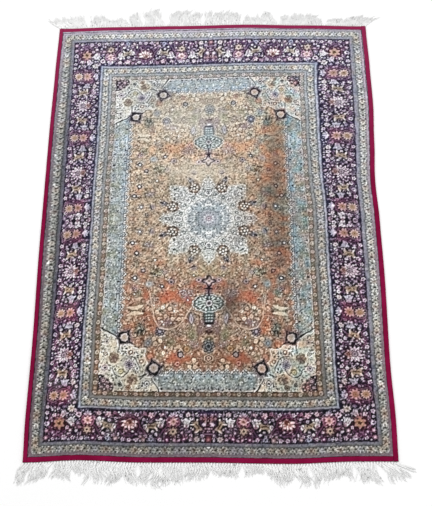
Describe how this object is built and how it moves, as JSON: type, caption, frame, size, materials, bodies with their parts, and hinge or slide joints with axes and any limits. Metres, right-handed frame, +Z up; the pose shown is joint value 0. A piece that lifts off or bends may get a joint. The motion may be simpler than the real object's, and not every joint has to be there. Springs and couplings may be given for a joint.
{
  "type": "persian rug",
  "caption": "Flat rectangular hand-knotted Persian rug with a star medallion, mirrored floral borders, crimson edge bindings and white knotted cotton fringes along its short ends.",
  "frame": {"origin": "on the floor under the middle of the rug, at the height of its flat underside", "axes": "+X to the rug's right side, +Y along its length to the far end, +Z up from the floor"},
  "size_m": [1.502, 2.2104, 0.008],
  "materials": {
    "pile": "short knotted wool pile, dyed in a floral pattern, soft sheen, worn and faded in places",
    "binding": "crimson wool overcast over the edge",
    "fringe": "white cotton yarn, matte, in loose locks"
  },
  "bodies": {
    "root": {"rug_body": "pile", "binding_left": "binding", "binding_right": "binding", "binding_near": "binding", "binding_far": "binding", "fringe_near": "fringe", "fringe_far": "fringe"}
  },
  "joints": []
}
